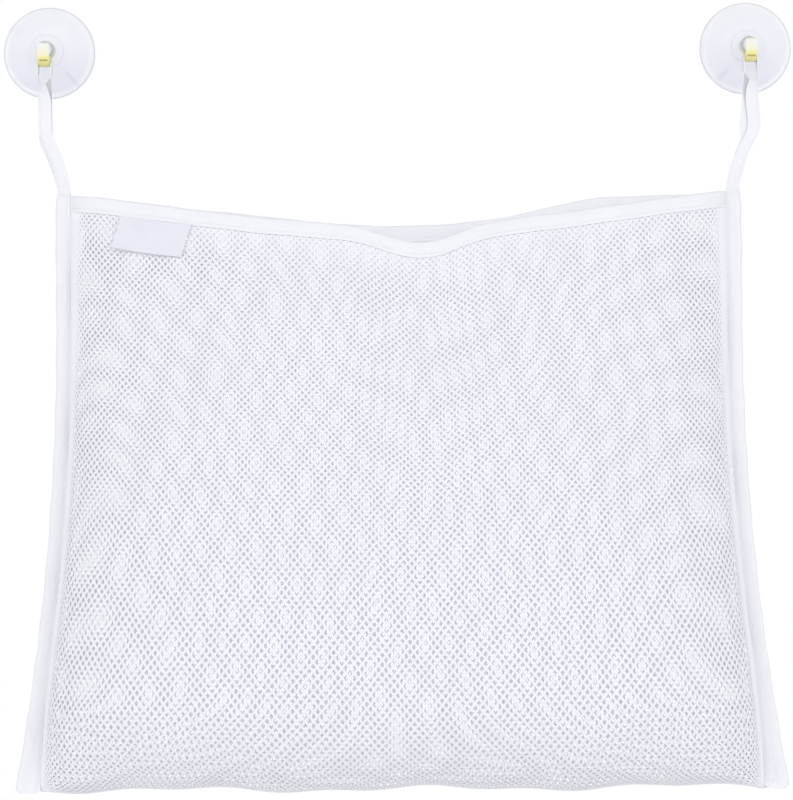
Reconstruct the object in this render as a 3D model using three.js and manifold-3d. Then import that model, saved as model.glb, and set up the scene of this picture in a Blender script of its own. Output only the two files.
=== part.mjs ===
// Net bag for bath toys that hangs on a tiled wall from two suction cups.
//
// Millimetres, +Z up, +X to the right of someone who faces the wall, +Y into the wall. The wall is the
// plane Y = 0, and the origin lies on it midway between the two cups.

import * as THREE from 'three';
import { mergeVertices } from 'three/addons/utils/BufferGeometryUtils.js';
import Module from 'manifold-3d';

// Fits
const CLEAR = 0.3;             // gap between pieces that touch or are sewn together
const TAPE = 0.7;              // thickness of the hem, binding and strap tape
const NET = 0.7;               // thickness of the net

// Suction cups
const CUP_SPACING = 423;       // between the axes of the two cups
const CUP_RADIUS = 27.7;
const CUP_LIP = 3;             // width of the flat ring that seals on the wall
const CUP_EDGE = 1;            // thickness of the dish at its rim
const CUP_HEIGHT = 13;         // wall to the face of the boss
const CUP_HOLLOW = 8;          // depth of the hollow at the axis
const BOSS_RADIUS = 10;
const BOSS_RISE = 1.4;         // step of the boss above the dish
const NECK_RADIUS = 3.2;
const NECK_LENGTH = 4.6;
const BUTTON_RADIUS = 5;
const BUTTON_LENGTH = 3.5;
const BUTTON_ROUND = 1.2;
const CUP_SIDES = 44;

// Hooks, one on the neck of each cup
const HOOK_WIDTH = 7;
const HOOK_THICKNESS = 2.2;
const HOOK_BEND = 5.6;         // inner radius of the bend that holds the strap
const HOOK_TIP = 5.4;          // height of the tip above the centre of the bend
const COLLAR_WALL = 2;

// Straps, each a doubled tape with a quarter turn
const STRAP_WIDTH = 8;
const STRAP_DROP = 88.5;       // cup axis to the top end of the side binding
const STRAP_TUCK = 11;         // length sewn into the binding
const STRAP_FREE = 16;         // below the cup axis, where the strap is clear of the hook and starts its quarter turn
const STRAP_FLAT = 40;         // where the turn ends
const STRAP_LEAN = 48;         // where the strap starts to lean to the corner of the bag
const STRAP_CORNER = 1.6;      // radius of the tape's middle where it folds over the hook
const STRAP_PASS = 1;          // room between the button and the tape in the hook

// Bag
const BAG_HEIGHT = 356;        // bottom fold to the top end of the side binding
const BAG_TOP_WIDTH = 411;
const BAG_BOTTOM_WIDTH = 464;
const FLARE_HEIGHT = 280;      // height over which the sides spread towards the bottom
const FLARE_POWER = 2;
const SEAM_DEPTH = 22;         // side seams in front of the wall
const WALL_GAP = 3;            // back of the net in front of the wall
const BELLY_DEPTH = 66;        // front of the pouch ahead of the side seams
const BELLY_HEIGHT = 90;       // height of the deepest level above the fold
const BELLY_TAPER = 1.3;       // 1 draws the front straight from the belly to the mouth, more rounds it
const MOUTH_DEPTH = 24;        // front hem ahead of the side seams
const FRONT_TOE = 62;          // height over which the front turns under to the fold
const BACK_TOE = 26;           // and the back
const FRONT_ROUND = 3;         // power of the front's section; more draws it squarer
const BACK_ROUND = 6;
const FRONT_SAG = 20;          // droop of the front hem at the middle
const FRONT_CURVE = 1.2;       // power of the cosine in which it hangs
const BACK_SAG = 18;
const BACK_CURVE = 2;
const HEM_WIDTH = 9.4;
const BINDING_WIDTH = 9;
const BINDING_TAIL = 2;        // binding past the bottom fold

// Sewn tag
const TAG_WIDTH = 43;
const TAG_HEIGHT = 20;
const TAG_THICKNESS = 0.5;
const TAG_PLACE = -143.5;      // X of its middle
const TAG_LEAN = 2.5;          // sideways run of its ends from top to bottom
const TAG_DROP = 0.9;          // top edge below the hem's straight edge, which bows down beside it

// The net's diamonds, fewer and larger than the knit's: two columns or rows of points to each
const COLUMNS = 10;            // from the middle to a side
const COLUMN_CROWDING = 1.5;   // over 1 keeps the columns even where the front curves back to the sides
const FRONT_ROWS = 16;
const BACK_ROWS = 14;
const ROW_CROWDING = 1.5;      // over 1 crowds the rows towards the fold
const WHOLE_ROWS = 2;          // on each side of the fold, without holes
const HOLE = 0.74;             // width of a hole as a share of its diamond's
const BINDING_STEPS = 20;
const TURN_STEPS = 16;

const wasm = await Module();
wasm.setup();

const X = new THREE.Vector3(1, 0, 0);
const Y = new THREE.Vector3(0, 1, 0);
const Z = new THREE.Vector3(0, 0, 1);

const clamp = THREE.MathUtils.clamp;
const lerp = THREE.MathUtils.lerp;

// p + a * u + b * v ...
function along(p, ...steps) {
  const q = p.clone();
  for (let k = 0; k < steps.length; k += 2) q.addScaledVector(steps[k + 1], steps[k]);
  return q;
}

// Turns the faces of a closed mesh outward.
function outward(points, faces) {
  let volume = 0;
  for (const [a, b, c] of faces) {
    volume += points[a].dot(new THREE.Vector3().crossVectors(points[b], points[c]));
  }
  const index = volume > 0 ? faces.flat() : faces.flatMap(([a, b, c]) => [a, c, b]);
  const geometry = new THREE.BufferGeometry();
  geometry.setAttribute('position', new THREE.Float32BufferAttribute(points.flatMap((p) => p.toArray()), 3));
  geometry.setIndex(index);
  return geometry;
}

const quad = (a, b, c, d) => [[a, b, c], [a, c, d]];

// Skins a row of sections with the same number of points, and closes its two ends with the given quads.
function loft(sections, caps) {
  const count = sections[0].length;
  const faces = [];
  for (let k = 0; k + 1 < sections.length; k++) {
    for (let i = 0; i < count; i++) {
      const j = (i + 1) % count;
      faces.push(...quad(k * count + i, k * count + j, (k + 1) * count + j, (k + 1) * count + i));
    }
  }
  const last = (sections.length - 1) * count;
  for (const cap of caps) {
    faces.push(...quad(...[...cap].reverse()), ...quad(...cap.map((i) => i + last)));
  }
  return outward(sections.flat(), faces);
}

const FLAT_CAP = [[0, 1, 2, 3]];
const CHANNEL_CAP = [[0, 1, 6, 7], [1, 2, 5, 6], [2, 3, 4, 5]];

// Boolean helpers for the moulded pieces
function solid(geometry) {
  const bare = geometry.clone();
  bare.deleteAttribute('normal');
  bare.deleteAttribute('uv');
  const merged = mergeVertices(bare, 1e-4);
  return new wasm.Manifold(new wasm.Mesh({
    numProp: 3,
    vertProperties: Float32Array.from(merged.attributes.position.array),
    triVerts: Uint32Array.from(merged.index.array),
  }));
}

function geometryOf(manifold) {
  const mesh = manifold.getMesh();
  const geometry = new THREE.BufferGeometry();
  geometry.setAttribute('position', new THREE.Float32BufferAttribute(mesh.vertProperties, 3));
  geometry.setIndex(Array.from(mesh.triVerts));
  return geometry;
}

// Suction cup: a dish that is hollow towards the wall, a boss, a neck and a button, turned about its axis

const BUTTON_BACK = CUP_HEIGHT + NECK_LENGTH;
const BUTTON_FRONT = BUTTON_BACK + BUTTON_LENGTH;
const DISH_TOP = CUP_HEIGHT - BOSS_RISE;

function cupGeometry() {
  const hollowRadius = CUP_RADIUS - CUP_LIP;
  const profile = [];
  const add = (radius, depth) => profile.push(new THREE.Vector2(radius, -depth));
  const steps = 7;
  for (let k = 0; k <= steps; k++) {
    const t = Math.sin((k / steps) * Math.PI / 2);
    add(hollowRadius * t, CUP_HOLLOW * Math.sqrt(1 - t * t));
  }
  add(CUP_RADIUS, 0);
  for (let k = 0; k <= steps; k++) {
    const t = k / steps;
    const rise = Math.sin(t * Math.PI / 2) ** 1.15;
    add(lerp(CUP_RADIUS, BOSS_RADIUS, t), lerp(CUP_EDGE, DISH_TOP, rise));
  }
  add(BOSS_RADIUS - BOSS_RISE / 2, CUP_HEIGHT);
  add(NECK_RADIUS, CUP_HEIGHT);
  add(NECK_RADIUS, BUTTON_BACK);
  for (let k = 0; k <= 3; k++) {
    const a = (k / 3) * Math.PI / 2;
    const ring = BUTTON_RADIUS - BUTTON_ROUND;
    if (k === 0) add(BUTTON_RADIUS, BUTTON_BACK);
    add(ring + BUTTON_ROUND * Math.cos(a), BUTTON_FRONT - BUTTON_ROUND * (1 - Math.sin(a)));
  }
  add(0, BUTTON_FRONT);
  return geometryOf(solid(new THREE.LatheGeometry(profile.reverse(), CUP_SIDES)));
}

// Hook: a collar round the neck, and a bent strip that runs down, forward and up from it.
// The strap lies across the bend as a flat strip, so both turn about the centre of the bend.

const COLLAR_BACK = CUP_HEIGHT + CLEAR;
const COLLAR_FRONT = BUTTON_BACK - CLEAR;
const COLLAR_BORE = NECK_RADIUS + CLEAR;
const BEND_DEPTH = COLLAR_FRONT + HOOK_BEND;
const STRAP_SEAT = Math.sqrt((HOOK_BEND - CLEAR) ** 2 - (STRAP_WIDTH / 2) ** 2);
const BEND_DROP = BUTTON_RADIUS + STRAP_PASS - (STRAP_SEAT - TAPE);

function hookGeometry() {
  const outer = HOOK_BEND + HOOK_THICKNESS;
  const tip = HOOK_THICKNESS / 2;
  const shape = new THREE.Shape();
  shape.moveTo(outer, BEND_DROP);
  shape.lineTo(outer, 0);
  shape.absarc(0, 0, outer, 0, -Math.PI, true);
  shape.lineTo(-outer, HOOK_TIP - tip);
  shape.absarc(-HOOK_BEND - tip, HOOK_TIP - tip, tip, Math.PI, 0, true);
  shape.lineTo(-HOOK_BEND, 0);
  shape.absarc(0, 0, HOOK_BEND, -Math.PI, 0, false);
  shape.lineTo(HOOK_BEND, BEND_DROP);
  shape.closePath();
  const strip = new THREE.ExtrudeGeometry(shape, { depth: HOOK_WIDTH, bevelEnabled: false, curveSegments: 14 });
  // the outline's x and y become Y and Z, and the extrusion runs along X
  strip.applyMatrix4(new THREE.Matrix4().makeBasis(Y, Z, X));
  strip.translate(-HOOK_WIDTH / 2, -BEND_DEPTH, -BEND_DROP);

  const length = COLLAR_FRONT - COLLAR_BACK;
  const middle = -(COLLAR_FRONT + COLLAR_BACK) / 2;
  const ring = new THREE.CylinderGeometry(COLLAR_BORE + COLLAR_WALL, COLLAR_BORE + COLLAR_WALL, length, CUP_SIDES);
  const bore = new THREE.CylinderGeometry(COLLAR_BORE, COLLAR_BORE, 3 * length, CUP_SIDES);
  for (const g of [ring, bore]) g.translate(0, middle, 0);
  return geometryOf(solid(ring).add(solid(strip)).subtract(solid(bore)));
}

// Pouch: the middle of the net. side is -1 at the front and +1 at the back, s runs from -1 to 1 between
// the bindings, and height is above the bottom fold.

const FOLD_Z = -STRAP_DROP - BAG_HEIGHT;
const LAYER = (NET + CLEAR) / 2;                // each net edge from the seam's middle
const TUCK_TOP = BAG_HEIGHT - STRAP_TUCK - CLEAR;

function halfWidth(height) {
  const t = clamp(1 - height / FLARE_HEIGHT, 0, 1.2);
  return lerp(BAG_TOP_WIDTH, BAG_BOTTOM_WIDTH, t ** FLARE_POWER) / 2;
}

const pouchHalf = (height) => halfWidth(height) - BINDING_WIDTH - 2 * CLEAR;

const toe = (height, reach) => Math.sqrt(1 - (1 - clamp(height / reach, 0, 1)) ** 2);

function bulge(side, height) {
  if (side > 0) return toe(height, BACK_TOE) * (SEAM_DEPTH - WALL_GAP - LAYER - NET / 2);
  const rise = clamp((height - BELLY_HEIGHT) / (BAG_HEIGHT - BELLY_HEIGHT), 0, 1);
  return toe(height, FRONT_TOE) * lerp(BELLY_DEPTH, MOUTH_DEPTH, rise ** BELLY_TAPER);
}

function crown(side, s) {
  return Math.sqrt(Math.max(0, 1 - Math.abs(s) ** (side > 0 ? BACK_ROUND : FRONT_ROUND)));
}

function pouch(side, s, height) {
  const depth = SEAM_DEPTH - side * (LAYER + bulge(side, height) * crown(side, s));
  return new THREE.Vector3(s * pouchHalf(height), -depth, FOLD_Z + height);
}

// Top edge of the net, under the hem's fold; its corners end below the straps.
function netTop(side, s) {
  if (Math.abs(s) >= 1) return TUCK_TOP;
  const [sag, curve] = side > 0 ? [BACK_SAG, BACK_CURVE] : [FRONT_SAG, FRONT_CURVE];
  return BAG_HEIGHT - CLEAR - TAPE - sag * Math.cos(s * Math.PI / 2) ** curve;
}

// The net's grid: one column of points for each place across, from the top of the back, round the fold,
// to the top of the front. Columns follow the front's section and rows crowd towards the fold, where it bends.

const places = [];
for (let k = -COLUMNS; k <= COLUMNS; k++) {
  const turn = (Math.abs(k) / COLUMNS) ** COLUMN_CROWDING * Math.PI / 2;
  places.push(Math.sign(k) * Math.sin(turn) ** (2 / FRONT_ROUND));
}

function column(s, margin) {
  const points = [];
  const put = (side, height) => {
    const p = pouch(side, s, height);
    if (margin) p.x = Math.sign(s) * (halfWidth(height) - TAPE - CLEAR);
    points.push(p);
  };
  const rows = (side, count) => {
    const top = netTop(side, s);
    const list = [];
    for (let k = 0; k <= count; k++) list.push((top - HEM_WIDTH) * (k / count) ** ROW_CROWDING);
    return [...list, top];
  };
  for (const height of rows(1, BACK_ROWS).reverse()) put(1, height);
  for (const height of rows(-1, FRONT_ROWS)) put(-1, height);
  return points;
}

const grid = [column(-1, true), ...places.map((s) => column(s, false)), column(1, true)];

const normals = grid.map((points, c) => points.map((p, r) => {
  const before = grid[Math.max(c - 1, 0)][r];
  const after = grid[Math.min(c + 1, grid.length - 1)][r];
  const above = points[Math.max(r - 1, 0)];
  const below = points[Math.min(r + 1, points.length - 1)];
  return new THREE.Vector3().crossVectors(after.clone().sub(before), above.clone().sub(below)).normalize();
}));

// Net: strands round diamond holes, with whole strips along the hems, the fold and the sides.

function netGeometry() {
  const wide = grid.length;
  const tall = grid[0].length;
  const points = [];
  const faces = [];
  // a point of the net is a pair: its point on the one face and on the other
  const pair = (p, q) => [points.push(p) - 1, points.push(q) - 1];
  const nodes = grid.map((col, c) => col.map((p, r) =>
    pair(along(p, NET / 2, normals[c][r]), along(p, -NET / 2, normals[c][r]))));
  const skin = (first, ...rest) => {
    for (let k = 0; k + 1 < rest.length; k++) {
      faces.push([first[0], rest[k][0], rest[k + 1][0]], [first[1], rest[k + 1][1], rest[k][1]]);
    }
  };
  const wall = (a, b) => faces.push(...quad(b[0], a[0], a[1], b[1]));
  const towards = (a, b, share) => pair(...[0, 1].map((k) => points[a[k]].clone().lerp(points[b[k]], share)));

  const backFoot = BACK_ROWS + 1 - WHOLE_ROWS;
  const frontFoot = BACK_ROWS + 2 + WHOLE_ROWS;
  const blocks = [[1, backFoot], [frontFoot, tall - 2]];
  const knit = (c, r) => c >= 1 && c < wide - 2 && blocks.some(([from, to]) => r >= from && r < to);

  for (let c = 0; c + 1 < wide; c++) {
    for (let r = 0; r + 1 < tall; r++) {
      if (!knit(c, r)) skin(nodes[c][r], nodes[c][r + 1], nodes[c + 1][r + 1], nodes[c + 1][r]);
    }
  }

  // every other point is the middle of a diamond; the points beside it are knots
  const diamond = (c, r, [from, to]) => {
    const knots = [[c - 1, r], [c, r + 1], [c + 1, r], [c, r - 1]].map(([i, j]) =>
      (i >= 1 && i <= wide - 2 && j >= from && j <= to ? nodes[i][j] : null));
    const next = (k) => (k + 1) % knots.length;
    if (knots.includes(null)) {
      knots.forEach((knot, k) => knot && knots[next(k)] && skin(nodes[c][r], knot, knots[next(k)]));
      return;
    }
    const corners = knots.map((knot) => towards(nodes[c][r], knot, HOLE));
    knots.forEach((knot, k) => {
      skin(knot, knots[next(k)], corners[next(k)], corners[k]);
      wall(corners[next(k)], corners[k]);
    });
  };
  for (const block of blocks) {
    for (let c = 1; c <= wide - 2; c++) {
      for (let r = block[0]; r <= block[1]; r++) {
        if ((c + r - block[0]) % 2) diamond(c, r, block);
      }
    }
  }

  for (let c = 0; c + 1 < wide; c++) {
    wall(nodes[c + 1][0], nodes[c][0]);
    wall(nodes[c][tall - 1], nodes[c + 1][tall - 1]);
  }
  for (let r = 0; r + 1 < tall; r++) {
    wall(nodes[0][r], nodes[0][r + 1]);
    wall(nodes[wide - 1][r + 1], nodes[wide - 1][r]);
  }
  return outward(points, faces);
}

// Hem: a channel of tape over the top edge of the net, from one column inside the left seam to the right.

function hemGeometry(side) {
  const last = grid[0].length - 1;
  const [edge, low] = side > 0 ? [0, 1] : [last, last - 1];
  const inner = NET / 2 + CLEAR;
  const outer = inner + TAPE;
  const sections = [];
  for (let c = 2; c < grid.length - 2; c++) {
    const top = grid[c][edge];
    const foot = grid[c][low];
    const up = top.clone().sub(foot).normalize();
    const [a, b] = [normals[c][edge], normals[c][low]];
    sections.push([
      along(foot, outer, b), along(top, outer, a, CLEAR + TAPE, up),
      along(top, -outer, a, CLEAR + TAPE, up), along(foot, -outer, b),
      along(foot, -inner, b), along(top, -inner, a, CLEAR, up),
      along(top, inner, a, CLEAR, up), along(foot, inner, b),
    ]);
  }
  return loft(sections, CHANNEL_CAP);
}

// Side binding: a channel of tape over both edges of the net and the two ends of the strap.

function bindingGeometry(hand) {
  const inner = LAYER + NET / 2 + CLEAR;
  const outer = inner + TAPE;
  const sections = [];
  for (let k = 0; k <= BINDING_STEPS; k++) {
    const height = lerp(-BINDING_TAIL, BAG_HEIGHT, k / BINDING_STEPS);
    const rim = halfWidth(height);
    const put = (inset, depth) => new THREE.Vector3(hand * (rim - inset), depth - SEAM_DEPTH, FOLD_Z + height);
    sections.push([
      put(BINDING_WIDTH, outer), put(0, outer), put(0, -outer), put(BINDING_WIDTH, -outer),
      put(BINDING_WIDTH, -inner), put(TAPE, -inner), put(TAPE, inner), put(BINDING_WIDTH, inner),
    ]);
  }
  return loft(sections, CHANNEL_CAP);
}

// Strap: one tape from the binding up to the hook, across its bend and down again. Side by side at the
// hook, the two runs make a quarter turn together and lie one behind the other at the binding.

function strapGeometry(hand) {
  const spread = HOOK_WIDTH / 2 + CLEAR + TAPE / 2;
  const seatZ = -BEND_DROP - STRAP_SEAT + TAPE / 2;
  const endZ = -STRAP_DROP - STRAP_TUCK;
  const hang = CUP_SPACING / 2;
  const sewn = BAG_TOP_WIDTH / 2 - TAPE - CLEAR - STRAP_WIDTH / 2;

  const level = (z, way) => {
    const turn = 1 - (1 - clamp((-z - STRAP_FREE) / (STRAP_FLAT - STRAP_FREE), 0, 1)) ** 2;
    const lean = clamp((-z - STRAP_LEAN) / (STRAP_DROP - STRAP_LEAN), 0, 1);
    const angle = turn * Math.PI / 2;
    const across = new THREE.Vector3(hand * Math.cos(angle), -Math.sin(angle), 0);
    const wide = new THREE.Vector3(hand * Math.sin(angle), Math.cos(angle), 0);
    const axis = new THREE.Vector3(hand * lerp(hang, sewn, lean), -lerp(BEND_DEPTH, SEAM_DEPTH, lean), z);
    const half = lerp(spread, (TAPE + CLEAR) / 2, turn);
    return { origin: along(axis, way * half, across), wide, out: across.multiplyScalar(way) };
  };

  const run = (way) => {
    const list = [endZ, -STRAP_DROP];
    for (let k = 0; k <= TURN_STEPS; k++) {
      list.push(lerp(-STRAP_DROP + STRAP_CORNER, -STRAP_FREE, k / TURN_STEPS));
    }
    list.push(seatZ - STRAP_CORNER);
    return list.map((z) => level(z, way));
  };

  const fold = (way) => [1, 2, 3].map((k) => {
    const a = (k / 3) * Math.PI / 2;
    const out = new THREE.Vector3(way * hand * Math.cos(a), 0, Math.sin(a));
    const centre = new THREE.Vector3(
      hand * (hang + way * (spread - STRAP_CORNER)), -BEND_DEPTH, seatZ - STRAP_CORNER);
    return { origin: along(centre, STRAP_CORNER, out), wide: Y.clone(), out };
  });

  const stations = [...run(1), ...fold(1), ...fold(-1).reverse(), ...run(-1).reverse()];
  const [w, t] = [STRAP_WIDTH / 2, TAPE / 2];
  return loft(stations.map(({ origin, wide, out }) => [
    along(origin, w, wide, t, out), along(origin, -w, wide, t, out),
    along(origin, -w, wide, -t, out), along(origin, w, wide, -t, out),
  ]), FLAT_CAP);
}

// Tag: a flat leaf sewn under the lower edge of the front hem.

function tagGeometry() {
  const s = TAG_PLACE / pouchHalf(BAG_HEIGHT);
  const lift = NET / 2 + CLEAR + TAG_THICKNESS / 2;
  const hemFoot = netTop(-1, s) - HEM_WIDTH;
  const step = 0.02;
  const left = pouch(-1, s - step, netTop(-1, s - step) - HEM_WIDTH);
  const right = pouch(-1, s + step, netTop(-1, s + step) - HEM_WIDTH);
  const wide = right.sub(left).normalize();
  const head = pouch(-1, s, hemFoot);
  const foot = pouch(-1, s, hemFoot - TAG_HEIGHT);
  const down = foot.clone().sub(head);
  const front = new THREE.Vector3().crossVectors(wide, down).normalize();
  if (front.y > 0) front.negate();
  down.crossVectors(front, wide).normalize();
  if (down.z > 0) down.negate();
  const corner = (side, drop, way) => along(head, side * TAG_WIDTH / 2 - TAG_LEAN * (drop / TAG_HEIGHT), wide,
    drop, down, lift + way * TAG_THICKNESS / 2, front);
  const level = (drop) => [corner(-1, drop, 1), corner(1, drop, 1), corner(1, drop, -1), corner(-1, drop, -1)];
  return loft([level(TAG_DROP), level(TAG_HEIGHT)], FLAT_CAP);
}

// Materials and the assembly

const finish = (color, roughness, extra = {}) => new THREE.MeshStandardMaterial({ color, roughness, metalness: 0, ...extra });
const netCloth = finish(0xf6f7fa, 0.85);
const tape = finish(0xf0f1f5, 0.8);
const tagCloth = finish(0xf8f8fb, 0.6);
const clearVinyl = finish(0xeef0f6, 0.12, { transparent: true, opacity: 0.45 });
const amber = finish(0xf0cf4a, 0.2);

function named(name, geometry, material, x = 0) {
  const mesh = new THREE.Mesh(geometry, material);
  mesh.name = name;
  mesh.position.x = x;
  return mesh;
}

const organizer = new THREE.Group();
organizer.name = 'bath_toy_organizer';

const bag = new THREE.Group();
bag.name = 'bag';
bag.add(
  named('net_sheet', netGeometry(), netCloth),
  named('hem_front', hemGeometry(-1), tape),
  named('hem_back', hemGeometry(1), tape),
  named('tag', tagGeometry(), tagCloth),
);

for (const [side, hand] of [['left', -1], ['right', 1]]) {
  bag.add(
    named(`binding_${side}`, bindingGeometry(hand), tape),
    named(`strap_${side}`, strapGeometry(hand), tape),
  );
  organizer.add(
    named(`cup_${side}`, cupGeometry(), clearVinyl, hand * CUP_SPACING / 2),
    named(`hook_${side}`, hookGeometry(), amber, hand * CUP_SPACING / 2),
  );
}

organizer.add(bag);

export default organizer;
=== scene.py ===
# Net bag that hangs on a tiled wall from two suction cups: the dressed model.
#
# Metres, +Z up, +X to the right of someone who faces the wall, +Y into the wall. The cloth pieces are laid
# out flat, as they are cut and sewn, with x along the piece, y across it and z off its face. Each is then
# moved, point by point, to where it hangs.

import math

import bpy
import numpy as np
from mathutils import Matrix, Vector


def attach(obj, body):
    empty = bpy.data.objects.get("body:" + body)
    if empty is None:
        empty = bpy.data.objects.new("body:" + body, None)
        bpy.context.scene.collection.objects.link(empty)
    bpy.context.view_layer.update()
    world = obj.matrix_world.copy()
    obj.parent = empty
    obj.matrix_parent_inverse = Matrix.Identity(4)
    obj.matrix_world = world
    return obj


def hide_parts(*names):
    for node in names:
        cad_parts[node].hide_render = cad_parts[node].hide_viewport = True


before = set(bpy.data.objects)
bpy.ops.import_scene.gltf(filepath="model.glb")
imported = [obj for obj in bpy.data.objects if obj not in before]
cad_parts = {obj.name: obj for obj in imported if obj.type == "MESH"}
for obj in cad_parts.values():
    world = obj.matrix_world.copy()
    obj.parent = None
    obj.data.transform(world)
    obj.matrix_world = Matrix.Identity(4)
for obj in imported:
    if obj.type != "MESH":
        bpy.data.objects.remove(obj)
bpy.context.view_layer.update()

MM = 0.001

# Sizes that the solids have too
CLEAR = 0.3 * MM
TAPE = 0.7 * MM
NET = 0.7 * MM
CUP_SPACING = 423 * MM
CUP_RADIUS = 27.7 * MM
CUP_LIP = 3 * MM
CUP_EDGE = 1 * MM
CUP_HEIGHT = 13 * MM
CUP_HOLLOW = 8 * MM
BOSS_RADIUS = 10 * MM
BOSS_RISE = 1.4 * MM
NECK_RADIUS = 3.2 * MM
NECK_LENGTH = 4.6 * MM
BUTTON_RADIUS = 5 * MM
BUTTON_LENGTH = 3.5 * MM
BUTTON_ROUND = 1.2 * MM
HOOK_WIDTH = 7 * MM
HOOK_THICKNESS = 2.2 * MM
HOOK_BEND = 5.6 * MM
HOOK_TIP = 5.4 * MM
COLLAR_WALL = 2 * MM
STRAP_WIDTH = 8 * MM
STRAP_DROP = 88.5 * MM
STRAP_TUCK = 11 * MM
STRAP_FREE = 16 * MM
STRAP_FLAT = 40 * MM
STRAP_LEAN = 48 * MM
STRAP_CORNER = 1.6 * MM
STRAP_PASS = 1 * MM
BAG_HEIGHT = 356 * MM
BAG_TOP_WIDTH = 411 * MM
BAG_BOTTOM_WIDTH = 464 * MM
FLARE_HEIGHT = 280 * MM
FLARE_POWER = 2
SEAM_DEPTH = 22 * MM
WALL_GAP = 3 * MM
BELLY_DEPTH = 66 * MM
BELLY_HEIGHT = 90 * MM
BELLY_TAPER = 1.3
MOUTH_DEPTH = 24 * MM
FRONT_TOE = 62 * MM
BACK_TOE = 26 * MM
FRONT_SAG = 20 * MM
FRONT_CURVE = 1.2
BACK_SAG = 18 * MM
BACK_CURVE = 2
HEM_WIDTH = 9.4 * MM
BINDING_WIDTH = 9 * MM
BINDING_TAIL = 2 * MM
TAG_WIDTH = 43 * MM
TAG_HEIGHT = 20 * MM
TAG_THICKNESS = 0.5 * MM
TAG_PLACE = -143.5 * MM
TAG_LEAN = 2.5 * MM

BUTTON_BACK = CUP_HEIGHT + NECK_LENGTH
BUTTON_FRONT = BUTTON_BACK + BUTTON_LENGTH
COLLAR_BACK = CUP_HEIGHT + CLEAR
COLLAR_FRONT = BUTTON_BACK - CLEAR
COLLAR_BORE = NECK_RADIUS + CLEAR
BEND_DEPTH = COLLAR_FRONT + HOOK_BEND
STRAP_SEAT = math.sqrt((HOOK_BEND - CLEAR) ** 2 - (STRAP_WIDTH / 2) ** 2)
BEND_DROP = BUTTON_RADIUS + STRAP_PASS - (STRAP_SEAT - TAPE)
FOLD_Z = -STRAP_DROP - BAG_HEIGHT
LAYER = (NET + CLEAR) / 2

FRONT, BACK = -1, 1
LEFT, RIGHT = -1, 1


def lerp(a, b, t):
    return a + (b - a) * t


def smooth(t):
    t = np.clip(t, 0, 1)
    return t * t * (3 - 2 * t)


def mound(x, middle, reach):
    return np.exp(-((x - middle) / reach) ** 2)


def wave(t, run, start=0):
    """A wave along t; run is the length of one radian of it."""
    return np.sin(t / run + start)


def fade(t, run):
    return np.exp(-t / run)


# Modelling helpers

BAKE_MARGIN = 0.01
# Degrees between faces, from which an edge stays sharp
SHARP = {"net": 60, "tape": 50, "thread": 180, "tag": 60, "cup": 35, "hook": 40}


def deselect():
    if bpy.context.object and bpy.context.object.mode != "OBJECT":
        bpy.ops.object.mode_set(mode="OBJECT")
    bpy.ops.object.select_all(action="DESELECT")


def only(obj):
    deselect()
    obj.select_set(True)
    bpy.context.view_layer.objects.active = obj


def apply(obj, kind, **settings):
    only(obj)
    modifier = obj.modifiers.new(kind, kind)
    for name, value in settings.items():
        setattr(modifier, name, value)
    bpy.ops.object.modifier_apply(modifier=modifier.name)


def flat_cloth(name, length, width, steps, rows):
    """A flat strip of cloth about the origin, with its length along X."""
    deselect()
    bpy.ops.mesh.primitive_grid_add(x_subdivisions=steps, y_subdivisions=rows, size=1)
    obj = bpy.context.object
    obj.name = obj.data.name = name
    obj.scale = (length, width, 1)
    bpy.ops.object.transform_apply(scale=True)
    return obj


def keep_flat(obj):
    """Writes where each corner lies on the flat cloth, in centimetres, as the UV map that weaves follow."""
    mesh = obj.data
    for layer in list(mesh.uv_layers):
        mesh.uv_layers.remove(layer)
    layer = mesh.uv_layers.new(name="Flat")
    points = np.empty(len(mesh.vertices) * 3)
    mesh.vertices.foreach_get("co", points)
    corners = np.empty(len(mesh.loops), dtype=np.int32)
    mesh.loops.foreach_get("vertex_index", corners)
    layer.data.foreach_set("uv", (points.reshape(-1, 3)[corners, :2] * 100).ravel())


def bake_map(obj):
    """Lays a flat piece out in the unit square, which bakes a net better than islands of single faces."""
    flat = obj.data.uv_layers["Flat"]
    corners = np.empty(len(obj.data.loops) * 2)
    flat.data.foreach_get("uv", corners)
    corners = corners.reshape(-1, 2)
    low, high = corners.min(axis=0), corners.max(axis=0)
    layer = obj.data.uv_layers.new(name="OFBake")
    layer.data.foreach_set("uv", lerp(BAKE_MARGIN, 1 - BAKE_MARGIN, (corners - low) / (high - low)).ravel())
    obj.data.uv_layers.active = flat


def hang(obj, place):
    """Moves each point of a flat piece to its place."""
    mesh = obj.data
    points = np.empty(len(mesh.vertices) * 3)
    mesh.vertices.foreach_get("co", points)
    x, y, z = points.reshape(-1, 3).T
    mesh.vertices.foreach_set("co", np.ascontiguousarray(place(x, y, z)).ravel())
    mesh.update()


def smooth_shade(obj, degrees):
    only(obj)
    bpy.ops.object.shade_smooth_by_angle(angle=math.radians(degrees))


def dress(obj, finish, slot, body, *nodes):
    obj.data.materials.clear()
    obj.data.materials.append(finish)
    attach(obj, body)
    if nodes:
        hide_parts(*nodes)
    return obj


def join(first, *others):
    if not others:
        return first
    deselect()
    for obj in (first, *others):
        obj.select_set(True)
    bpy.context.view_layer.objects.active = first
    bpy.ops.object.join()
    return first


# Pouch

FLARE_PAST = 1.2               # lets the flare run on below the fold, for the tails of the bindings


def half_width(height):
    t = np.clip(1 - height / FLARE_HEIGHT, 0, FLARE_PAST)
    return lerp(BAG_TOP_WIDTH, BAG_BOTTOM_WIDTH, t ** FLARE_POWER) / 2


# How far each binding's fold runs off the middle of its tape towards the bottom, where its front half is
# the wider one
SKEW, SKEW_HEIGHT = 6 * MM, 90 * MM


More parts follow.
